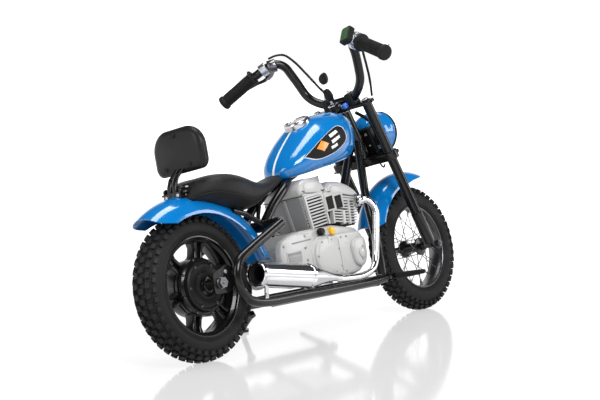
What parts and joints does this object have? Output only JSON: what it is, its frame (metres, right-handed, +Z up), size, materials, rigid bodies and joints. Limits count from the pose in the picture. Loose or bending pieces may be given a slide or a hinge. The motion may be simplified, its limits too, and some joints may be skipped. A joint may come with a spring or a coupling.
{
  "type": "ride-on motorcycle",
  "caption": "Child's battery ride-on chopper motorcycle with hub-motor rear wheel, spoked front wheel, high bars, backrest seat and engine-shaped battery housing, on its side stand.",
  "frame": {"origin": "middle of the bounding box's bottom face, on the floor under the parked machine", "axes": "+X forwards, +Y to the rider's left, +Z up; the machine leans 13.7 degrees to its left on the side stand"},
  "size_m": [1.124, 0.5812, 0.7286],
  "materials": {
    "frame_black": "satin powder coat",
    "body_blue": "high gloss paint",
    "chrome": "polished",
    "steel": "zinc plated",
    "silver_plastic": "painted silver plastic",
    "grey_plastic": "satin grey plastic",
    "black_plastic": "satin moulded plastic",
    "seat_vinyl": "fine grain vinyl",
    "tyre": "matte tread rubber",
    "rubber": "matte rubber",
    "cast_black": "gloss black cast alloy",
    "yellow_plastic": "moulded",
    "lens": "clear moulded lens",
    "battery_blue": "shrink wrap"
  },
  "bodies": {
    "frame": {"frame_spine": "frame_black", "frame_downtubes": "frame_black", "frame_loop_right": "frame_black", "frame_loop_left": "frame_black", "frame_cross_tubes": "frame_black", "headset_bearings": "steel", "seat_pan": "black_plastic", "seat_cushion": "seat_vinyl", "backrest_post": "frame_black", "backrest_shell": "black_plastic", "backrest_pad": "seat_vinyl", "rear_fender": "body_blue", "fuel_tank": "body_blue", "tank_cap": "chrome", "crankcase": "silver_plastic", "rear_cylinder": "grey_plastic", "front_cylinder": "silver_plastic", "rocker_covers": "silver_plastic", "primary_cover": "silver_plastic", "oil_cap": "yellow_plastic", "charge_socket": "black_plastic", "battery_pack": "battery_blue", "motor_controller": "steel", "exhaust_pipe": "chrome", "muffler": "chrome", "rear_axle": "steel", "frame_bolts": "steel", "brake_cable_rear": "rubber"},
    "rear_wheel": {"rear_tyre": "tyre", "rear_rim": "cast_black", "hub_motor": "cast_black", "hub_cover": "cast_black"},
    "front_wheel": {"front_tyre": "tyre", "front_rim": "chrome", "front_spokes": "chrome", "front_hub": "steel"},
    "steering": {"steering_stem": "steel", "upper_clamp": "frame_black", "lower_clamp": "frame_black", "fork_leg_right": "frame_black", "fork_leg_left": "frame_black", "front_axle": "steel", "handlebar": "frame_black", "bar_clamps": "chrome", "left_grip": "rubber", "headlight_bucket": "body_blue", "headlight_lens": "lens", "headlight_bracket": "frame_black", "front_fender": "body_blue", "throttle_housing": "steel", "lever_perches": "steel", "ignition_switch": "black_plastic", "bar_cables": "rubber"},
    "throttle": {"throttle_grip": "rubber"},
    "lever_left": {"brake_lever_left": "black_plastic"},
    "lever_right": {"brake_lever_right": "steel"},
    "key": {"ignition_key": "black_plastic"},
    "stand": {"side_stand": "frame_black"},
    "peg_right": {"footpeg_right": "rubber"},
    "peg_left": {"footpeg_left": "rubber"}
  },
  "joints": [
    {"name": "steering_turn", "type": "hinge", "parent": "frame", "child": "steering", "pos_m": [0.246, -0.01215, 0.44805], "axis": [-0.3875, 0.2183, 0.8956], "range_deg": [-28, 28]},
    {"name": "rear_wheel_spin", "type": "hinge", "parent": "frame", "child": "rear_wheel", "pos_m": [-0.402, -0.08321, 0.15659], "axis": [0, 0.9715, -0.2368], "continuous": true},
    {"name": "front_wheel_spin", "type": "hinge", "parent": "steering", "child": "front_wheel", "pos_m": [0.4, -0.08277, 0.15836], "axis": [0, 0.9715, -0.2368], "continuous": true},
    {"name": "throttle_twist", "type": "hinge", "parent": "steering", "child": "throttle", "pos_m": [0.107, -0.13504, 0.68284], "axis": [0.3191, 0.9156, 0.2446], "range_deg": [0, 65], "stiffness_Nm_per_rad": 0.12},
    {"name": "brake_lever_right_pull", "type": "hinge", "parent": "steering", "child": "lever_right", "pos_m": [0.144, -0.1241, 0.67708], "axis": [0, 0.2368, 0.9715], "range_deg": [0, 9], "stiffness_Nm_per_rad": 0.5},
    {"name": "brake_lever_left_pull", "type": "hinge", "parent": "steering", "child": "lever_left", "pos_m": [0.144, 0.19263, 0.59987], "axis": [0, -0.2368, -0.9715], "range_deg": [0, 9], "stiffness_Nm_per_rad": 0.5},
    {"name": "ignition_key_turn", "type": "hinge", "parent": "steering", "child": "key", "pos_m": [0.18522, 0.0062, 0.52335], "axis": [-0.3875, 0.2183, 0.8956], "range_deg": [0, 90]},
    {"name": "side_stand_fold", "type": "hinge", "parent": "frame", "child": "stand", "pos_m": [-0.14, -0.00644, 0.05347], "axis": [0.0853, 0.6852, 0.7234], "range_deg": [0, 95]},
    {"name": "footpeg_right_fold", "type": "hinge", "parent": "frame", "child": "peg_right", "pos_m": [0.166, -0.1941, 0.12392], "axis": [-1, 0, 0], "range_deg": [0, 80]},
    {"name": "footpeg_left_fold", "type": "hinge", "parent": "frame", "child": "peg_left", "pos_m": [0.166, 0.00021, 0.07655], "axis": [1, 0, 0], "range_deg": [0, 80]}
  ]
}
